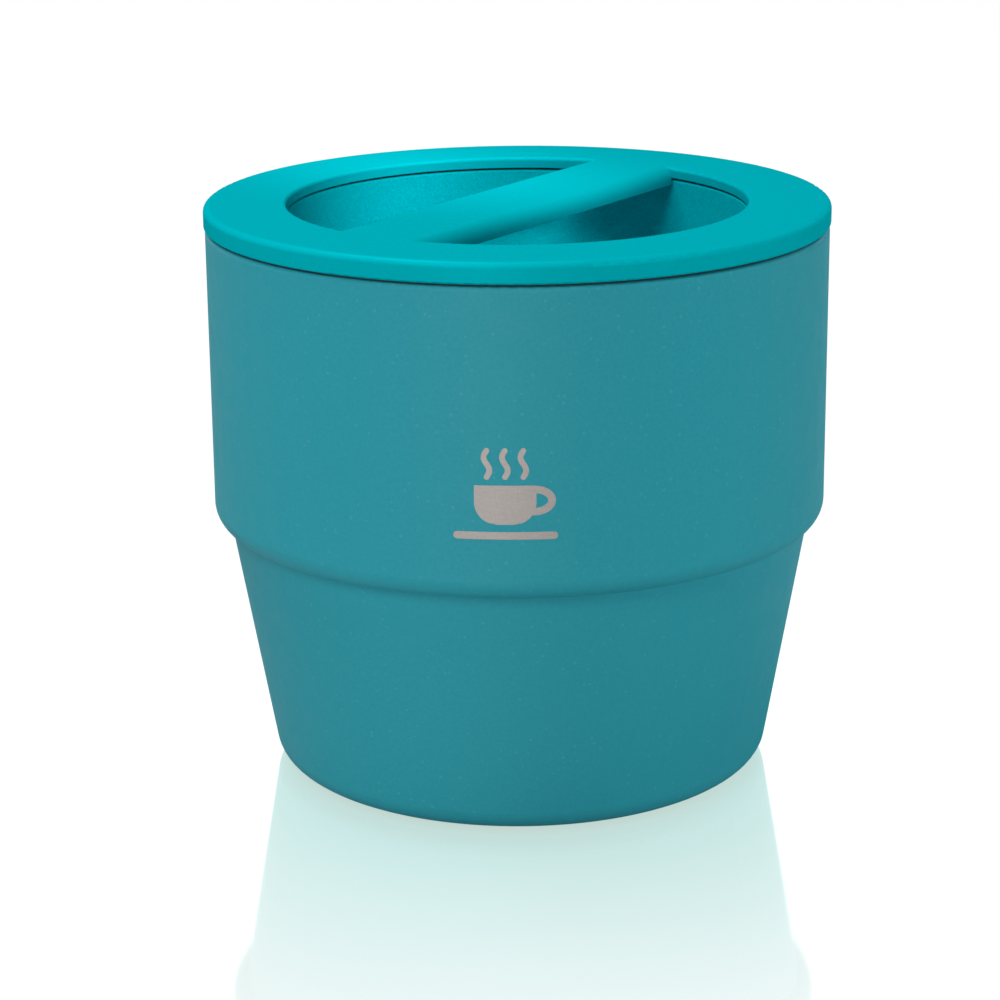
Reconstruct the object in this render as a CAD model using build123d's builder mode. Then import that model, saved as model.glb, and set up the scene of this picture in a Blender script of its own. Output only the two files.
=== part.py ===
from build123d import *

import os
from math import acos, degrees, sin

# A rigid travel cup: a double-wall steel body with two tiers, and a screw lid whose crossbar is
# gripped through two finger wells. Lengths are in mm. Z = 0 is the surface that the cup stands on,
# the axis of the cup is Z, and the crossbar runs along Y.

# ---- Driving dimensions ----

# Steel body
body_height = 89.05  # top of the steel rim
upper_radius = 49.8  # outside of the upper tier
step_height = 41.1  # inside corner under the upper tier
step_depth = 2.5  # how far the lower tier is set back at that corner
step_round = 3.3  # rounded lower edge of the upper tier
taper = 7.1  # how much the lower tier narrows from the step to the table
base_round = 4.1  # rounded edge between the lower tier and the foot ring
rim_round = 0.8
shell_wall = 0.7
liner_wall = 0.6
vacuum_gap = 2.5  # between the two walls
floor_gap = 3.2  # between the base plate and the liner's floor
rim_width = 1.5  # rolled rim of the shell, from its outer wall to the liner's flange
liner_step_round = 4.0
liner_base_round = 7.0
mouth_round = 0.25  # inner edge of the liner's mouth

# Base
foot_band = 6.9  # from the lower tier's outline at the table to the opening in the foot
lip_height = 2.2  # turned-up lip round that opening
plate_thickness = 0.8
pad_proud = 0.3  # the pad stands this far below the steel foot ring
pad_clearance = 0.2
dimple_radius = 6.0
dimple_slope = 1.5  # radial width of the dimple's sloping side
dimple_height = 0.9
seal_hole_radius = 0.7
seal_radius = 2.6
seal_height = 0.8

# Getter and foil in the vacuum space
getter_radius = 4.0
getter_thickness = 1.2
getter_offset = 18.0  # from the cup's axis, along X
clip_thickness = 0.3
clip_width = 4.5
clip_foot = 3.0  # length of each welded foot
clip_clearance = 0.3
foil_thickness = 0.2
foil_margin = 6.0  # bare liner above and below the foil

# Lid cover
lid_overhang = 0.2  # how far the lid stands out past the upper tier
cover_height = 3.33
cover_plate = 1.75
cover_round = 1.0
cover_foot_round = 0.3
skirt_wall = 1.6
ring_band = 13.15  # from the lid's outside to the opening over the bowl
opening_round = 0.5
bar_width = 17.4
bar_shift = 1.1  # the bar stands this far off the cup's axis, towards -X
bar_depth = 2.85
bar_top_round = 2.6  # rounded shoulders along the bar
bar_foot_round = 0.2  # lower edges of the bar, which the fingertips hold
bar_end_gap = 0.4  # between the bar's ends and the bowl
seam_gap = 0.4  # visible joint between the cover plate and the bowl
weld_width = 4.0  # ring-shaped weld rib that closes the joint further out
weld_inset = 3.5  # from the opening to the weld rib

# Lid bowl
bowl_depth = 15.9  # from the bowl's rim to its floor
bowl_wall = 1.6
bowl_draft = 1.9  # how much the bowl narrows to its floor
bowl_round = 8.0
bowl_rim_round = 0.3
flange_clearance = 0.3  # between the bowl's flange and the skirt

# Lid plug and gasket
plug_clearance = 1.5  # between the plug and the liner's bore, which the threads take up
plug_wall = 1.6
plug_floor_gap = 2.3  # foam under the bowl
plug_round = 3.0
neck_depth = 4.4  # groove for the gasket, down from the gasket's lip
neck_setback = 1.1
gasket_lip = 0.35  # thickness between the rim and the lid
gasket_lip_setback = 0.7  # from the lid's outside
gasket_clearance = 0.3
gasket_leg = 1.5
gasket_leg_gap = 0.3  # above the plug's shoulder
rib_depth = 0.5
rib_height = 0.8
rib_count = 2

# Thread, right-handed, with several starts
thread_pitch = 4.0
thread_starts = 3
thread_arc = 110.0  # degrees that each ridge runs round
thread_root = 1.6
thread_crest = 0.9
thread_clearance = 0.35
thread_anchor = 0.2  # how far a ridge's root reaches into its wall
thread_drop = 12.05  # from the rim to the start of the liner's ridges

# ---- Places that follow from them ----

corner_radius = upper_radius - step_depth
base_radius = corner_radius - taper
opening_in_base = base_radius - foot_band
shell_base = pad_proud
plate_top = shell_base + lip_height
plate_bottom = plate_top - plate_thickness

liner_outside = upper_radius - shell_wall - vacuum_gap
bore_radius = liner_outside - liner_wall
flange_radius = upper_radius - shell_wall - rim_width
liner_base = plate_top + floor_gap
liner_set_back = shell_wall + vacuum_gap
liner_corner = step_height + liner_set_back

lid_radius = upper_radius + lid_overhang
opening_radius = lid_radius - ring_band
lid_base = body_height + gasket_lip
lid_top = lid_base + cover_height
plate_underside = lid_top - cover_plate
bowl_top = plate_underside - seam_gap
bowl_floor = bowl_top - bowl_depth
bowl_underside = bowl_floor - bowl_wall
plug_floor = bowl_underside - plug_floor_gap
plug_bottom = plug_floor - plug_wall
plug_radius = bore_radius - plug_clearance
neck_radius = plug_radius - neck_setback
shoulder = lid_base - neck_depth
bowl_narrowing = bowl_draft / bowl_depth
bar_end_radius = opening_radius - bowl_narrowing * (bar_depth - cover_plate) - bar_end_gap
weld_inner = opening_radius + weld_inset
skirt_inside = lid_radius - skirt_wall

thread_lead = thread_pitch * thread_starts
thread_height = plug_clearance - thread_clearance
liner_thread_start = body_height - thread_drop
plug_thread_start = liner_thread_start - thread_pitch / 2


def taper_radius(z):
    """Outside radius of the lower tier at a height."""
    return base_radius + taper * z / step_height


def tiered_solid(inset, foot_z, corner_z, top_z, edge_round, foot_round, mode):
    """Solid with the body's two tiers, its surface set in from the body's outside by inset."""
    top_radius = upper_radius - inset
    low_radius = corner_radius - inset
    edge_angle = acos((low_radius - top_radius + edge_round) / edge_round)
    edge_start = corner_z + edge_round * sin(edge_angle)
    foot_radius = taper_radius(foot_z) - inset
    with BuildSketch(Plane.XZ) as section:
        with BuildLine():
            edge = JernArc((top_radius, edge_start), (0, -1), edge_round, -degrees(edge_angle))
            Polyline(edge @ 1, (foot_radius, foot_z), (0, foot_z), (0, top_z), (top_radius, top_z), edge @ 0)
        make_face()
        fillet(section.vertices().group_by(Axis.Y)[0].sort_by(Axis.X)[-1], foot_round)
    revolve(section.sketch, axis=Axis.Z, mode=mode)


def ring(inner_radius, outer_radius, bottom, height):
    """Flat ring about the cup's axis."""
    with BuildSketch(Plane.XY.offset(bottom)) as section:
        Circle(outer_radius)
        Circle(inner_radius, mode=Mode.SUBTRACT)
    extrude(section.sketch, amount=height)


def thread_ridge(wall_radius, side, start_z):
    """One thread ridge on a wall, pointing away from the cup's axis if side is 1, or at it if -1."""
    root_radius = wall_radius - side * thread_anchor
    crest_radius = wall_radius + side * thread_height
    with BuildPart() as ridge:
        with BuildLine() as path:
            Helix(thread_lead, thread_lead * thread_arc / 360, wall_radius, center=(0, 0, start_z))
        with BuildSketch(Plane.XZ):
            with BuildLine():
                Polyline(
                    (root_radius, start_z - thread_root / 2),
                    (wall_radius, start_z - thread_root / 2),
                    (crest_radius, start_z - thread_crest / 2),
                    (crest_radius, start_z + thread_crest / 2),
                    (wall_radius, start_z + thread_root / 2),
                    (root_radius, start_z + thread_root / 2),
                    close=True,
                )
            make_face()
        sweep(path=path.wire(), is_frenet=True)
    return ridge.part


def bowl_solid(wall, floor_z, top_z, mode=Mode.ADD):
    """Drafted dish, its surface set out from the bowl's inside by wall."""
    rim_radius = opening_radius + wall
    with BuildSketch(Plane.XZ) as section:
        with BuildLine():
            Polyline(
                (0, floor_z), (rim_radius - bowl_draft, floor_z), (rim_radius, top_z), (0, top_z), close=True
            )
        make_face()
        fillet(section.vertices().group_by(Axis.Y)[0].sort_by(Axis.X)[-1], bowl_round + wall)
    revolve(section.sketch, axis=Axis.Z, mode=mode)


def plug_cavity(mode=Mode.ADD):
    """Space inside the plug, up to the underside of the bowl's flange."""
    inside = plug_radius - plug_wall
    neck_inside = neck_radius - plug_wall
    neck_bottom = shoulder - plug_wall
    with BuildSketch(Plane.XZ) as section:
        with BuildLine():
            Polyline(
                (0, plug_floor),
                (inside, plug_floor),
                (inside, neck_bottom),
                (neck_inside, neck_bottom),
                (neck_inside, lid_base),
                (0, lid_base),
                close=True,
            )
        make_face()
    revolve(section.sketch, axis=Axis.Z, mode=mode)


os.makedirs("parts", exist_ok=True)

# ---- Steel body ----

# Outer shell: two tiers, rolled in at the rim, with a turned-up lip round the opening in its foot
with BuildPart() as outer_shell:
    tiered_solid(0, shell_base, step_height, body_height, step_round, base_round, Mode.ADD)
    fillet(outer_shell.edges().group_by(Axis.Z)[-1], rim_round)
    tiered_solid(
        shell_wall,
        shell_base + shell_wall,
        step_height + shell_wall,
        body_height - shell_wall,
        step_round - shell_wall,
        base_round - shell_wall,
        Mode.SUBTRACT,
    )
    with BuildSketch(Plane.XY.offset(body_height)):
        Circle(flange_radius)
    extrude(amount=-2 * shell_wall, mode=Mode.SUBTRACT)
    ring(opening_in_base, opening_in_base + shell_wall, shell_base, lip_height)
    with BuildSketch(Plane.XY.offset(shell_base)):
        Circle(opening_in_base)
    extrude(amount=2 * shell_wall, mode=Mode.SUBTRACT)
outer_shell.part.label = "outer_shell"
export_step(outer_shell.part, "parts/outer_shell.step")

# Inner liner: the cup that holds the drink, welded to the shell's rim by its flange
with BuildPart() as inner_liner:
    tiered_solid(
        liner_set_back, liner_base, liner_corner, body_height, liner_step_round, liner_base_round, Mode.ADD
    )
    ring(bore_radius, flange_radius, body_height - shell_wall, shell_wall)
    tiered_solid(
        liner_set_back + liner_wall,
        liner_base + liner_wall,
        liner_corner + liner_wall,
        body_height,
        liner_step_round,
        liner_base_round - liner_wall,
        Mode.SUBTRACT,
    )
    mouth = inner_liner.faces().sort_by(Axis.Z)[-1].inner_wires()
    fillet(mouth.edges(), mouth_round)
    liner_ridge = thread_ridge(bore_radius, -1, liner_thread_start)
    with PolarLocations(0, thread_starts):
        add(liner_ridge)
inner_liner.part.label = "inner_liner"
export_step(inner_liner.part, "parts/inner_liner.step")

# Base plate: closes the shell's foot, with a dimple and a hole through which the air is drawn out
with BuildPart() as base_plate:
    with BuildSketch(Plane.XZ):
        with BuildLine():
            Polyline(
                (seal_hole_radius, plate_top + dimple_height),
                (dimple_radius - dimple_slope, plate_top + dimple_height),
                (dimple_radius, plate_top),
                (opening_in_base, plate_top),
                (opening_in_base, plate_bottom),
                (dimple_radius, plate_bottom),
                (dimple_radius - dimple_slope, plate_bottom + dimple_height),
                (seal_hole_radius, plate_bottom + dimple_height),
                close=True,
            )
        make_face()
    revolve(axis=Axis.Z)
base_plate.part.label = "base_plate"
export_step(base_plate.part, "parts/base_plate.step")

# Vacuum seal: a domed bead under the hole, inside the dimple
with BuildPart() as vacuum_seal:
    with BuildSketch(Plane.XZ):
        with BuildLine():
            seal_seat = plate_bottom + dimple_height
            dome_radius = (seal_radius**2 + seal_height**2) / (2 * seal_height)
            dome = RadiusArc((0, seal_seat - seal_height), (seal_radius, seal_seat), -dome_radius)
            Polyline(dome @ 1, (0, seal_seat), dome @ 0)
        make_face()
    revolve(axis=Axis.Z)
vacuum_seal.part.label = "vacuum_seal"
export_step(vacuum_seal.part, "parts/vacuum_seal.step")

# Getter: a pill against the underside of the liner's floor
with BuildPart() as getter:
    with BuildSketch(Plane.XY.offset(liner_base)):
        with Locations((getter_offset, 0)):
            Circle(getter_radius)
    extrude(amount=-getter_thickness)
getter.part.label = "getter"
export_step(getter.part, "parts/getter.step")

# Getter clip: a strap under the getter, with a foot welded to the liner at each end
with BuildPart() as getter_clip:
    with BuildSketch(Plane.XZ):
        with BuildLine():
            inner_half = getter_radius + clip_clearance
            outer_half = inner_half + clip_thickness
            foot_half = outer_half + clip_foot
            strap_top = liner_base - getter_thickness
            Polyline(
                (getter_offset, strap_top),
                (getter_offset + inner_half, strap_top),
                (getter_offset + inner_half, liner_base),
                (getter_offset + foot_half, liner_base),
                (getter_offset + foot_half, liner_base - clip_thickness),
                (getter_offset + outer_half, liner_base - clip_thickness),
                (getter_offset + outer_half, strap_top - clip_thickness),
                (getter_offset, strap_top - clip_thickness),
                close=True,
            )
        make_face()
        mirror(about=Plane.YZ.offset(getter_offset))
    extrude(amount=clip_width / 2, both=True)
getter_clip.part.label = "getter_clip"
export_step(getter_clip.part, "parts/getter_clip.step")

# Radiation foil: wrapped round the liner's neck in the vacuum space
with BuildPart() as radiation_foil:
    foil_bottom = liner_corner + liner_step_round + foil_margin
    foil_top = body_height - shell_wall - foil_margin
    ring(liner_outside, liner_outside + foil_thickness, foil_bottom, foil_top - foil_bottom)
radiation_foil.part.label = "radiation_foil"
export_step(radiation_foil.part, "parts/radiation_foil.step")

# Foot pad: silicone disc stuck to the base plate, a little proud of the foot ring
with BuildPart() as foot_pad:
    with BuildSketch():
        Circle(opening_in_base - pad_clearance)
    extrude(amount=plate_bottom)
    chamfer(foot_pad.edges().group_by(Axis.Z)[0], pad_proud)
foot_pad.part.label = "foot_pad"
export_step(foot_pad.part, "parts/foot_pad.step")

# ---- Lid ----

# Lid gasket: a lip between the rim and the lid, and a ribbed leg in the groove round the plug
with BuildPart() as lid_gasket:
    gasket_inside = neck_radius + gasket_clearance
    leg_bottom = shoulder + gasket_leg_gap
    leg_outside = gasket_inside + gasket_leg
    ring(gasket_inside, lid_radius - gasket_lip_setback, body_height, gasket_lip)
    ring(gasket_inside, leg_outside, leg_bottom, body_height - leg_bottom)
    rib_spacing = (body_height - leg_bottom) / (rib_count + 1)
    for rib in range(rib_count):
        rib_middle = leg_bottom + (rib + 1) * rib_spacing
        ring(leg_outside, leg_outside + rib_depth, rib_middle - rib_height / 2, rib_height)
lid_gasket.part.label = "lid_gasket"
export_step(lid_gasket.part, "parts/lid_gasket.step")

# Crossbar between the two finger wells: its ends merge into the lid cover's ring, and the part of
# it that hangs below the ring stops short of the bowl
with BuildPart() as crossbar:
    with BuildSketch(Plane.XZ) as bar_section:
        with Locations((-bar_shift, lid_top - bar_depth / 2)):
            Rectangle(bar_width, bar_depth)
        fillet(bar_section.vertices().group_by(Axis.Y)[-1], bar_top_round)
        fillet(bar_section.vertices().group_by(Axis.Y)[0], bar_foot_round)
    extrude(amount=lid_radius, both=True)
    with BuildSketch(Plane.XZ):
        with BuildLine():
            bar_bottom = lid_top - bar_depth
            bar_reach = opening_radius + 2 * opening_round
            Polyline(
                (0, lid_top),
                (bar_reach, lid_top),
                (bar_reach, plate_underside),
                (bar_end_radius, plate_underside),
                (bar_end_radius, bar_bottom),
                (0, bar_bottom),
                close=True,
            )
        make_face()
    revolve(axis=Axis.Z, mode=Mode.INTERSECT)

# Lid cover: ring plate with a skirt, and the crossbar over its opening
with BuildPart() as lid_cover:
    with BuildSketch(Plane.XZ) as cover_section:
        with BuildLine():
            Polyline(
                (opening_radius, lid_top),
                (lid_radius, lid_top),
                (lid_radius, lid_base),
                (skirt_inside, lid_base),
                (skirt_inside, plate_underside),
                (opening_radius, plate_underside),
                close=True,
            )
        make_face()
        top_corner = cover_section.vertices().group_by(Axis.X)[-1].sort_by(Axis.Y)[-1]
        fillet(top_corner, cover_round)
        foot_corner = cover_section.vertices().group_by(Axis.X)[-1].sort_by(Axis.Y)[0]
        fillet(foot_corner, cover_foot_round)
        opening_corner = cover_section.vertices().group_by(Axis.X)[0].sort_by(Axis.Y)[-1]
        fillet(opening_corner, opening_round)
    revolve(axis=Axis.Z)
    add(crossbar.part)
    ring(weld_inner, weld_inner + weld_width, bowl_top, seam_gap)
lid_cover.part.label = "lid_cover"
export_step(lid_cover.part, "parts/lid_cover.step")

# Lid bowl: the dish under the crossbar, with a flange that the cover is welded to
with BuildPart() as lid_bowl:
    bowl_solid(bowl_wall, bowl_underside, bowl_top)
    ring(opening_radius, skirt_inside - flange_clearance, lid_base, bowl_top - lid_base)
    bowl_solid(0, bowl_floor, bowl_top, Mode.SUBTRACT)
    bowl_mouth = lid_bowl.faces().sort_by(Axis.Z)[-1].inner_wires()
    fillet(bowl_mouth.edges(), bowl_rim_round)
lid_bowl.part.label = "lid_bowl"
export_step(lid_bowl.part, "parts/lid_bowl.step")

# Lid plug: hollow, threaded outside, with a groove under the lid for the gasket
with BuildPart() as lid_plug:
    with BuildSketch(Plane.XZ) as plug_section:
        with BuildLine():
            Polyline(
                (0, plug_bottom),
                (plug_radius, plug_bottom),
                (plug_radius, shoulder),
                (neck_radius, shoulder),
                (neck_radius, lid_base),
                (0, lid_base),
                close=True,
            )
        make_face()
        fillet(plug_section.vertices().group_by(Axis.Y)[0].sort_by(Axis.X)[-1], plug_round)
    revolve(axis=Axis.Z)
    plug_cavity(Mode.SUBTRACT)
    plug_ridge = thread_ridge(plug_radius, 1, plug_thread_start)
    with PolarLocations(0, thread_starts):
        add(plug_ridge)
lid_plug.part.label = "lid_plug"
export_step(lid_plug.part, "parts/lid_plug.step")

# Lid insulation: foam that fills the space between the bowl and the plug
with BuildPart() as lid_insulation:
    plug_cavity()
    bowl_solid(bowl_wall, bowl_underside, bowl_top, Mode.SUBTRACT)
lid_insulation.part.label = "lid_insulation"
export_step(lid_insulation.part, "parts/lid_insulation.step")
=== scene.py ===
import math

import bmesh
import bpy
from mathutils import Matrix, Vector


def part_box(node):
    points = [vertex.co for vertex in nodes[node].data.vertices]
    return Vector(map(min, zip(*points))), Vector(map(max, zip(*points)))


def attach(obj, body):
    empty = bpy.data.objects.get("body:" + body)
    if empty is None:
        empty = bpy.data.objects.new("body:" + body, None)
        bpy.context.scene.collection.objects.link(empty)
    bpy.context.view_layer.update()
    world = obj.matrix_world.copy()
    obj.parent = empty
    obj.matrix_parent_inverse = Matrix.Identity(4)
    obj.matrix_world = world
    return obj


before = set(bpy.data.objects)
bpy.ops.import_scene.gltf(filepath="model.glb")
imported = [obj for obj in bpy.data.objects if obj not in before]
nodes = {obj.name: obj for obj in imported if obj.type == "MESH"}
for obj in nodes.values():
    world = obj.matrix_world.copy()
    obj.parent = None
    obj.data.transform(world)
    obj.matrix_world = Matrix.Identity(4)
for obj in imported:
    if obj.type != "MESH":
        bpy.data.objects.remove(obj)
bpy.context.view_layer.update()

MM = 0.001

shell_low, shell_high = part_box("outer_shell")


# ---- Node materials ----


class Maker:
    """A new node material with one Principled shader, and short ways to add nodes to it."""

    def __init__(self, name):
        self.material = bpy.data.materials.new(name)
        self.material.use_nodes = True
        self.tree = self.material.node_tree
        self.shader = self.tree.nodes["Principled BSDF"]
        self.place = self.add("ShaderNodeTexCoord").outputs["Object"]

    def add(self, kind, **values):
        node = self.tree.nodes.new(kind)
        for key, value in values.items():
            setattr(node, key, value)
        return node

    def link(self, source, target):
        self.tree.links.new(source, target)

    def set(self, **values):
        for key, value in values.items():
            self.shader.inputs[key.replace("_", " ")].default_value = value

    def noise(self, size, detail=2.0, roughness=0.5, stretch=(1, 1, 1)):
        """Noise of about that grain size in metres, longer along an axis whose stretch is above 1."""
        mapping = self.add("ShaderNodeMapping")
        mapping.inputs["Scale"].default_value = [1 / s for s in stretch]
        self.link(self.place, mapping.inputs["Vector"])
        node = self.add("ShaderNodeTexNoise")
        node.inputs["Scale"].default_value = 1 / size
        node.inputs["Detail"].default_value = detail
        node.inputs["Roughness"].default_value = roughness
        self.link(mapping.outputs["Vector"], node.inputs["Vector"])
        return node.outputs["Fac"]

    def flecks(self, size, share):
        """1 inside small round specks that cover about that share of the surface, 0 elsewhere."""
        node = self.add("ShaderNodeTexVoronoi", feature="F1")
        node.inputs["Scale"].default_value = 1 / size
        self.link(self.place, node.inputs["Vector"])
        chosen = self.add("ShaderNodeSeparateColor")
        self.link(node.outputs["Color"], chosen.inputs["Color"])
        few = self.ramp(chosen.outputs["Red"], 1 - share, 1 - share + 0.02)
        near = self.ramp(node.outputs["Distance"], 0.30, 0.42, 1, 0)
        return self.math("MULTIPLY", few, near)

    def ramp(self, value, low, high, to_low=0.0, to_high=1.0):
        """The value, mapped from low..high to to_low..to_high and held at the ends."""
        node = self.add("ShaderNodeMapRange", clamp=True)
        ends = {"From Min": low, "From Max": high, "To Min": to_low, "To Max": to_high}
        for key, number in ends.items():
            node.inputs[key].default_value = number
        self.link(value, node.inputs["Value"])
        return node.outputs["Result"]

    def math(self, operation, a, b):
        node = self.add("ShaderNodeMath", operation=operation)
        for socket, value in zip(node.inputs, (a, b)):
            if isinstance(value, (int, float)):
                socket.default_value = value
            else:
                self.link(value, socket)
        return node.outputs["Value"]

    def height(self):
        """Height above the floor in metres."""
        node = self.add("ShaderNodeSeparateXYZ")
        self.link(self.place, node.inputs["Vector"])
        return node.outputs["Z"]

    def mix(self, factor, first, second):
        """A colour between two colours, each a tuple or an output."""
        node = self.add("ShaderNodeMix", data_type="RGBA")
        self.link(factor, node.inputs["Factor"])
        sockets = [s for s in node.inputs if s.type == "RGBA"]
        for socket, colour in zip(sockets, (first, second)):
            if isinstance(colour, tuple):
                socket.default_value = (*colour, 1)
            else:
                self.link(colour, socket)
        return [s for s in node.outputs if s.type == "RGBA"][0]

    def colour(self, output):
        self.link(output, self.shader.inputs["Base Color"])

    def roughness(self, output):
        self.link(output, self.shader.inputs["Roughness"])

    def bump(self, layers):
        """Bump from several (height output, depth in metres) layers."""
        normal = None
        for output, depth in layers:
            node = self.add("ShaderNodeBump")
            node.inputs["Strength"].default_value = 1.0
            node.inputs["Distance"].default_value = depth
            self.link(output, node.inputs["Height"])
            if normal is not None:
                self.link(normal, node.inputs["Normal"])
            normal = node.outputs["Normal"]
        self.link(normal, self.shader.inputs["Normal"])


def linear(red, green, blue):
    """A display colour of 0 to 255 per channel, as the linear colour that shaders take."""
    shares = (red / 255, green / 255, blue / 255)
    return tuple(c / 12.92 if c <= 0.04045 else ((c + 0.055) / 1.055) ** 2.4 for c in shares)


def powder_coat():
    """Matte speckled coat, scuffed a little at the foot."""
    m = Maker("powder_coat")
    m.set(IOR=1.45, Specular_IOR_Level=0.3)
    cloud = m.noise(30 * MM, 3)
    base = m.mix(cloud, linear(39, 155, 170), linear(41, 157, 172))
    grain = m.ramp(m.noise(0.5 * MM, 3, 0.6), 0.38, 0.64)
    base = m.mix(m.math("MULTIPLY", grain, 0.4), base, linear(50, 165, 180))
    base = m.mix(m.math("MULTIPLY", m.flecks(0.7 * MM, 0.05), 0.13), base, linear(120, 198, 206))
    scuff_zone = m.ramp(m.height(), 0.3 * MM, 4 * MM, 1, 0)
    scuff = m.math("MULTIPLY", scuff_zone, m.ramp(m.noise(1.5 * MM, 5, 0.7), 0.55, 0.72))
    m.colour(m.mix(m.math("MULTIPLY", scuff, 0.12), base, linear(110, 170, 176)))
    m.roughness(m.ramp(m.noise(4 * MM, 4), 0.3, 0.7, 0.50, 0.60))
    m.bump([(m.noise(0.9 * MM, 2), 0.012 * MM), (m.noise(0.25 * MM, 2), 0.008 * MM)])
    return m.material


def moulded_plastic(name, colour, contrast, grain_depth, low_roughness, high_roughness, metallic):
    """Coloured plastic from a textured mould. A little metallic, so its gloss has its own colour."""
    m = Maker(name)
    m.set(Metallic=metallic, IOR=1.47, Specular_IOR_Level=0.0, Specular_Tint=(0.0, 1.0, 1.0, 1))
    lighter = tuple(min(1.0, c * (1 + contrast)) for c in colour)
    darker = tuple(c * (1 - contrast) for c in colour)
    m.colour(m.mix(m.ramp(m.noise(0.35 * MM, 3, 0.7), 0.35, 0.65), darker, lighter))
    m.roughness(m.ramp(m.noise(3 * MM, 4), 0.3, 0.7, low_roughness, high_roughness))
    m.bump([(m.noise(0.32 * MM, 3, 0.6), grain_depth), (m.noise(6 * MM, 1), 0.008 * MM)])
    return m.material


def brushed_steel(name, stretch):
    """Bare steel with fine marks along the stretched axes."""
    m = Maker(name)
    m.set(Metallic=1.0, IOR=2.5)
    marks = m.noise(0.5 * MM, 4, 0.6, stretch)
    m.colour(m.mix(marks, linear(176, 170, 162), linear(214, 209, 202)))
    m.roughness(m.ramp(marks, 0.3, 0.7, 0.26, 0.42))
    m.bump([(marks, 0.008 * MM)])
    return m.material


def etched_steel():
    """Steel bared by a laser: matte, with the mottle of the laser's passes."""
    m = Maker("etched_steel")
    m.set(Metallic=0.55, IOR=1.8)
    mottle = m.noise(0.35 * MM, 4, 0.7)
    passes = m.noise(0.3 * MM, 2, 0.5, (8, 8, 1))
    base = m.mix(mottle, linear(150, 141, 137), linear(196, 187, 182))
    m.colour(m.mix(m.math("MULTIPLY", passes, 0.3), base, linear(120, 128, 130)))
    m.roughness(m.ramp(mottle, 0.3, 0.7, 0.42, 0.62))
    m.bump([(mottle, 0.02 * MM)])
    return m.material


def rubber(name, colour):
    m = Maker(name)
    m.set(IOR=1.42, Specular_IOR_Level=0.3)
    m.colour(m.mix(m.noise(5 * MM, 4), colour, tuple(c * 1.35 for c in colour)))
    m.roughness(m.ramp(m.noise(1.2 * MM, 3), 0.3, 0.7, 0.62, 0.8))
    m.bump([(m.noise(0.2 * MM, 2), 0.01 * MM)])
    return m.material


def foam():
    m = Maker("foam")
    m.set(Roughness=0.9, Specular_IOR_Level=0.2)
    cells = m.add("ShaderNodeTexVoronoi", feature="F1")
    cells.inputs["Scale"].default_value = 1 / (0.8 * MM)
    m.link(m.place, cells.inputs["Vector"])
    m.colour(m.mix(cells.outputs["Distance"], linear(236, 232, 220), linear(206, 200, 184)))
    m.bump([(cells.outputs["Distance"], 0.15 * MM)])
    return m.material


def foil():
    m = Maker("foil")
    m.set(Metallic=1.0, IOR=1.4)
    creases = m.noise(4 * MM, 5, 0.7)
    m.colour(m.mix(creases, linear(200, 202, 205), linear(232, 233, 235)))
    m.roughness(m.ramp(creases, 0.3, 0.7, 0.12, 0.3))
    m.bump([(creases, 0.15 * MM)])
    return m.material


def sintered_metal():
    m = Maker("getter_metal")
    m.set(Metallic=0.8)
    grain = m.noise(0.2 * MM, 4, 0.7)
    m.colour(m.mix(grain, linear(82, 82, 86), linear(128, 128, 132)))
    m.roughness(m.ramp(grain, 0.3, 0.7, 0.6, 0.85))
    m.bump([(grain, 0.03 * MM)])
    return m.material


def seal_glass():
    m = Maker("seal_glass")
    m.set(IOR=1.55, Coat_Weight=0.5, Coat_Roughness=0.08)
    m.colour(m.mix(m.noise(0.5 * MM, 3), linear(30, 32, 36), linear(58, 60, 66)))
    m.roughness(m.ramp(m.noise(0.4 * MM, 3), 0.3, 0.7, 0.15, 0.3))
    return m.material


steel = brushed_steel("bare_steel", (6, 6, 1))
FINISHES = {
    "outer_shell": powder_coat(),
    "inner_liner": steel,
    "base_plate": steel,
    "getter_clip": steel,
    "vacuum_seal": seal_glass(),
    "getter": sintered_metal(),
    "radiation_foil": foil(),
    "foot_pad": rubber("pad_rubber", linear(38, 40, 43)),
    "lid_gasket": rubber("gasket_rubber", linear(20, 52, 58)),
    "lid_cover": moulded_plastic(
        "cover_plastic", linear(0, 178, 190), contrast=0.02, grain_depth=0.010 * MM,
        low_roughness=0.42, high_roughness=0.52, metallic=0.10,
    ),
    "lid_bowl": moulded_plastic(
        "bowl_plastic", linear(0, 174, 186), contrast=0.13, grain_depth=0.08 * MM,
        low_roughness=0.30, high_roughness=0.42, metallic=0.08,
    ),
    "lid_plug": moulded_plastic(
        "plug_plastic", linear(0, 168, 180), contrast=0.03, grain_depth=0.015 * MM,
        low_roughness=0.40, high_roughness=0.52, metallic=0.10,
    ),
    "lid_insulation": foam(),
}
for name, finish in FINISHES.items():
    mesh = nodes[name].data
    mesh.materials.clear()
    mesh.materials.append(finish)


# ---- Etched mark: a plain hot-drink sign, a cup on its saucer under three lines of steam ----

VIEW_AZIMUTH = math.radians(33.7)  # from -Y towards +X

MARK_RADIUS = (shell_high[0] - shell_low[0]) / 2
MARK_RISE = 0.03 * MM  # how far it stands out of the shell, and how far it reaches in
MARK_AZIMUTH = VIEW_AZIMUTH - math.radians(2.4)
MARK_BASE = 50.8 * MM  # height of the drawing's lower edge
CAP_STEPS = 8  # straight pieces in a line's round end


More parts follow.
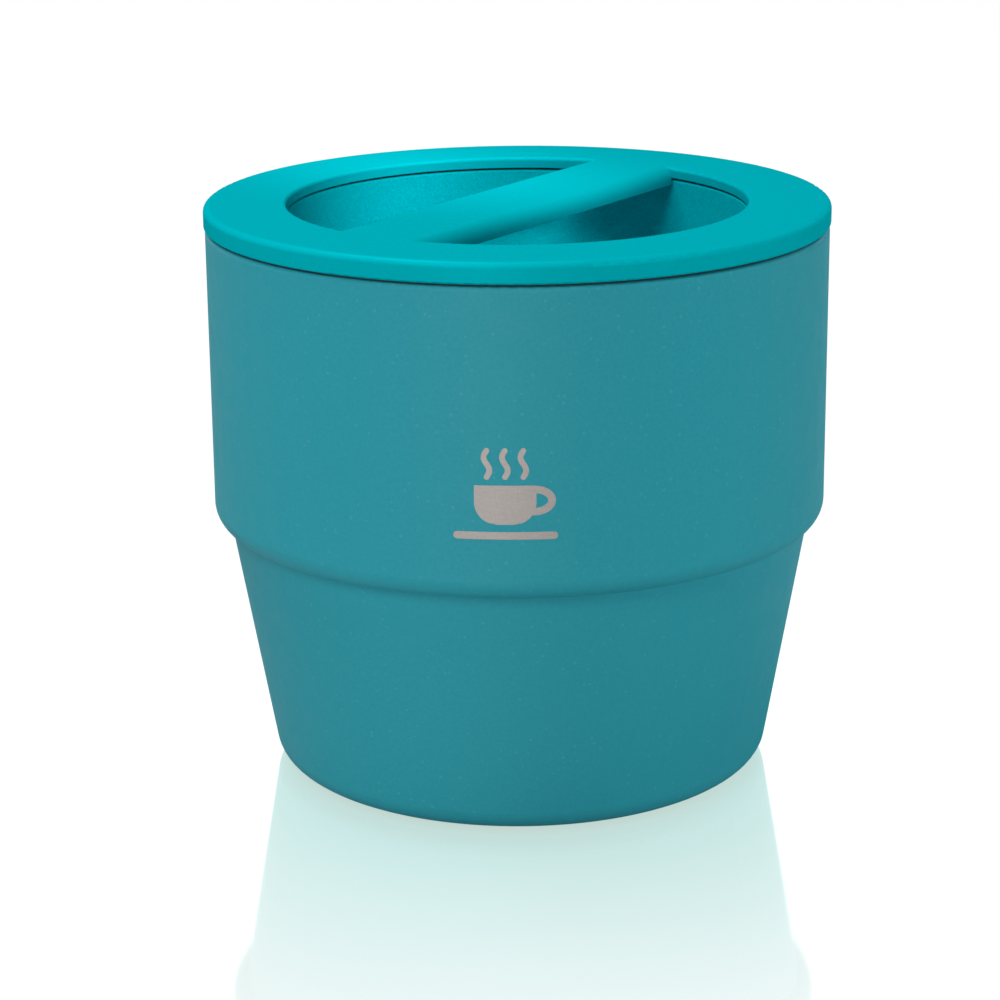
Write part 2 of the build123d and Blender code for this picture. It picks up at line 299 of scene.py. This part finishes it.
def stroke(b, path, width, caps=True):
    """A flat band of that width along a path of (across, up) points, with round ends if caps."""
    half = width / 2
    rows = []
    for i, (x, y) in enumerate(path):
        ahead = path[min(i + 1, len(path) - 1)]
        behind = path[max(i - 1, 0)]
        way = Vector((ahead[0] - behind[0], ahead[1] - behind[1])).normalized()
        side = Vector((-way.y, way.x)) * half
        rows.append((Vector((x, y)), way, side))
    sides = [(b.verts.new((*(p + s), 0)), b.verts.new((*(p - s), 0))) for p, way, s in rows]
    for (a1, a2), (b1, b2) in zip(sides, sides[1:]):
        b.faces.new((a1, a2, b2, b1))
    if not caps:
        return
    for (p, way, s), (left, right), sign in ((rows[0], sides[0], -1), (rows[-1], sides[-1], 1)):
        arc = []
        for step in range(1, CAP_STEPS):
            turn = math.pi * step / CAP_STEPS
            point = p + s * math.cos(turn) + way * (half * math.sin(turn) * sign)
            arc.append(b.verts.new((*point, 0)))
        b.faces.new([left, *arc, right])


def rows_of(b, half_width, low, high, rows, columns):
    """A flat shape of level rows, each as wide as half_width says at its height."""
    grid = []
    for r in range(rows + 1):
        up = low + (high - low) * r / rows
        reach = half_width(up)
        row = [b.verts.new((reach * (2 * c / columns - 1), up, 0)) for c in range(columns + 1)]
        grid.append(row)
    for lower, upper in zip(grid, grid[1:]):
        for c in range(columns):
            b.faces.new((lower[c], lower[c + 1], upper[c + 1], upper[c]))


def make_mark():
    """The sign, drawn flat in millimetres, then wrapped round the shell as a thin raised layer."""
    b = bmesh.new()
    line, steam_line = 1.15, 0.85
    bowl_low, bowl_high, bowl_reach, bowl_round = 2.6, 8.6, 4.6, 3.4
    handle_across, handle_up, handle_reach, handle_rise = 4.3, 6.3, 2.6, 1.7
    saucer_reach, saucer_up, saucer_steps = 7.2, 0.9, 24
    steam_apart, steam_low, steam_length, steam_sway, steam_steps = 2.7, 9.9, 4.0, 0.42, 16

    def bowl_half_width(up):
        drop = max(0.0, bowl_low + bowl_round - up)
        return bowl_reach - bowl_round + math.sqrt(max(0.0, bowl_round**2 - drop**2))

    rows_of(b, bowl_half_width, bowl_low, bowl_high, rows=24, columns=16)
    handle = []
    for degrees in range(-100, 101, 10):
        turn = math.radians(degrees)
        across = handle_across + handle_reach * math.cos(turn)
        handle.append((across, handle_up + handle_rise * math.sin(turn)))
    stroke(b, handle, line, caps=False)
    saucer = [(saucer_reach * (2 * i / saucer_steps - 1), saucer_up) for i in range(saucer_steps + 1)]
    stroke(b, saucer, line)
    for middle_across in (-steam_apart, 0.0, steam_apart):
        steam = []
        for step in range(steam_steps + 1):
            share = step / steam_steps
            across = middle_across + steam_sway * math.sin(2 * math.pi * share)
            steam.append((across, steam_low + steam_length * share))
        stroke(b, steam, steam_line)
    layer = bmesh.ops.extrude_face_region(b, geom=b.faces[:], use_keep_orig=True)
    raised = {v for v in layer["geom"] if isinstance(v, bmesh.types.BMVert)}
    for v in b.verts:
        angle = MARK_AZIMUTH + v.co.x * MM / MARK_RADIUS
        radius = MARK_RADIUS + (MARK_RISE if v in raised else -MARK_RISE)
        v.co = (math.sin(angle) * radius, -math.cos(angle) * radius, MARK_BASE + v.co.y * MM)
    bmesh.ops.recalc_face_normals(b, faces=b.faces[:])
    mesh = bpy.data.meshes.new("drink_mark")
    b.to_mesh(mesh)
    b.free()
    mark = bpy.data.objects.new("drink_mark", mesh)
    bpy.context.scene.collection.objects.link(mark)
    mesh.materials.append(etched_steel())
    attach(mark, "cup")


make_mark()


# ---- Floor, light and camera ----

FLOOR_SIZE = 12.0
FLOOR_DROP = 0.02 * MM  # keeps it clear of the foot pad's face
FLOOR_BOUNCE = 0.48  # grey that the cup is lit by
FLOOR_GLOW = 0.97  # white that the camera sees
FLOOR_SHADE = 0.08  # share of the camera's white that still takes shadows
REFLECTION_SHARE = 0.45  # under the cup
REFLECTION_NEAR = 42 * MM  # from here it fades
REFLECTION_FAR = 150 * MM  # and here it ends
# painted reflection: an even teal glow added to the floor's real gloss close to the cup, fading out
# with it
PAINTED_REFLECTION_GLOW = (0.0, 0.30, 0.20)


def make_floor():
    """A pale floor that shows white, with a faint reflection close to the cup: real gloss with a
    painted teal glow added to it.
    """
    mesh = bpy.data.meshes.new("floor")
    b = bmesh.new()
    bmesh.ops.create_grid(b, x_segments=2, y_segments=2, size=FLOOR_SIZE / 2)
    b.to_mesh(mesh)
    b.free()
    floor = bpy.data.objects.new("floor", mesh)
    bpy.context.scene.collection.objects.link(floor)
    floor.location.z = -FLOOR_DROP
    m = Maker("floor")
    tree = m.tree
    tree.nodes.remove(m.shader)

    def glow(colour, other):
        """That shader with an even glow added."""
        lamp = m.add("ShaderNodeEmission")
        lamp.inputs["Color"].default_value = (*colour, 1)
        both = m.add("ShaderNodeAddShader")
        m.link(lamp.outputs["Emission"], both.inputs[0])
        m.link(other, both.inputs[1])
        return both.outputs["Shader"]

    def blend(share, first, second):
        """The first shader where share is 0, the second where it is 1."""
        both = m.add("ShaderNodeMixShader")
        m.link(share, both.inputs["Fac"])
        m.link(first, both.inputs[1])
        m.link(second, both.inputs[2])
        return both.outputs["Shader"]

    def diffuse(grey):
        matte = m.add("ShaderNodeBsdfDiffuse")
        matte.inputs["Color"].default_value = (grey, grey, grey, 1)
        return matte.outputs["BSDF"]

    gloss = m.add("ShaderNodeBsdfAnisotropic")
    gloss.inputs["Color"].default_value = (1, 1, 1, 1)
    gloss.inputs["Roughness"].default_value = 0.06
    path = m.add("ShaderNodeLightPath")
    distance = m.add("ShaderNodeVectorMath", operation="LENGTH")
    m.link(m.place, distance.inputs[0])
    share = m.ramp(distance.outputs["Value"], REFLECTION_NEAR, REFLECTION_FAR, REFLECTION_SHARE, 0.0)
    white = glow((FLOOR_GLOW, FLOOR_GLOW, FLOOR_GLOW), diffuse(FLOOR_SHADE))
    # close to the cup the camera sees the real gloss with the painted teal reflection glow added
    shown = blend(share, white, glow(PAINTED_REFLECTION_GLOW, gloss.outputs["BSDF"]))
    surface = blend(path.outputs["Is Camera Ray"], diffuse(FLOOR_BOUNCE), shown)
    m.link(surface, tree.nodes["Material Output"].inputs["Surface"])
    mesh.materials.append(m.material)


def aim(light, place, target):
    """Put a light at place and turn it to face target."""
    bpy.context.scene.collection.objects.link(light)
    light.location = place
    light.rotation_mode = "QUATERNION"
    light.rotation_quaternion = (Vector(target) - Vector(place)).to_track_quat("-Z", "Y")


def softbox(name, place, target, width, height, power, glossy=True):
    """A rectangular area light at place, facing target; glossy says whether it shows in reflections."""
    data = bpy.data.lights.new(name, "AREA")
    data.shape = "RECTANGLE"
    data.size = width
    data.size_y = height
    data.energy = power
    light = bpy.data.objects.new(name, data)
    light.visible_glossy = glossy
    aim(light, place, target)


def snoot(name, place, target, spread, power):
    """A narrow soft beam from place to target, spread wide at the target."""
    data = bpy.data.lights.new(name, "SPOT")
    data.spot_size = 2 * math.atan(spread / 2 / (Vector(target) - Vector(place)).length)
    data.spot_blend = 1.0
    data.shadow_soft_size = 0.02
    data.energy = power
    aim(bpy.data.objects.new(name, data), place, target)


CAMERA_REACH = 456.55 * MM  # from the cup's axis
CAMERA_HEIGHT = 178.84 * MM
CAMERA_PITCH = math.radians(16.648)  # below level
CAMERA_ROLL = math.radians(-0.425)
LENS = 104.16  # focal length in mm, on the sensor below
SENSOR = 36.0
SHIFT = -0.0194


def around(azimuth, reach, height):
    """A point at that angle to the right of the camera's side, as seen from above, round the cup."""
    a = VIEW_AZIMUTH + math.radians(azimuth)
    return Vector((math.sin(a) * reach, -math.cos(a) * reach, height))


def make_camera():
    data = bpy.data.cameras.new("camera")
    data.lens = LENS
    data.sensor_width = SENSOR
    data.shift_x = SHIFT
    data.clip_start = 0.01
    data.clip_end = 100.0
    camera = bpy.data.objects.new("camera", data)
    bpy.context.scene.collection.objects.link(camera)
    turn = Matrix.Rotation(VIEW_AZIMUTH, 4, "Z")
    tilt = Matrix.Rotation(math.pi / 2 - CAMERA_PITCH, 4, "X")
    roll = Matrix.Rotation(CAMERA_ROLL, 4, "Z")
    place = Matrix.Translation(around(0, CAMERA_REACH, CAMERA_HEIGHT))
    camera.matrix_world = place @ turn @ tilt @ roll
    bpy.context.scene.camera = camera


WORLD_LIGHT = 0.10  # strength of the light on the cup
WORLD_WHITE = 1.05  # strength that the camera and the reflections see


def make_world():
    """Soft grey light from all round; the backdrop itself is white."""
    world = bpy.data.worlds.new("world")
    world.use_nodes = True
    bpy.context.scene.world = world
    tree = world.node_tree
    light = tree.nodes["Background"]
    light.inputs["Color"].default_value = (1, 1, 1, 1)
    light.inputs["Strength"].default_value = WORLD_LIGHT
    white = tree.nodes.new("ShaderNodeBackground")
    white.inputs["Color"].default_value = (1, 1, 1, 1)
    white.inputs["Strength"].default_value = WORLD_WHITE
    path = tree.nodes.new("ShaderNodeLightPath")
    both = tree.nodes.new("ShaderNodeMixShader")
    tree.links.new(path.outputs["Is Diffuse Ray"], both.inputs["Fac"])
    tree.links.new(white.outputs["Background"], both.inputs[1])
    tree.links.new(light.outputs["Background"], both.inputs[2])
    tree.links.new(both.outputs["Shader"], tree.nodes["World Output"].inputs["Surface"])


make_floor()
make_world()
make_camera()
cup_middle = (0, 0, 0.05)
left_well = around(213, 0.038, 0.086)  # the wall at the back of the left finger well
softbox("top", around(-115, 0.35, 1.1), cup_middle, width=0.5, height=0.5, power=7.0)
softbox("left", around(-95, 1.1, 0.05), cup_middle, width=0.4, height=0.10, power=0.8, glossy=False)
softbox("right", around(97, 1.1, 0.05), cup_middle, width=0.4, height=0.10, power=5.3, glossy=False)
softbox("front", around(-24, 1.05, 1.05), cup_middle, width=0.45, height=0.45, power=6.6)
softbox("level", around(-11, 1.3, 0.08), cup_middle, width=0.5, height=0.14, power=4.1)
snoot("well", around(45, 0.9, 0.75), left_well, spread=0.048, power=68)
bpy.context.scene.view_settings.view_transform = "Standard"
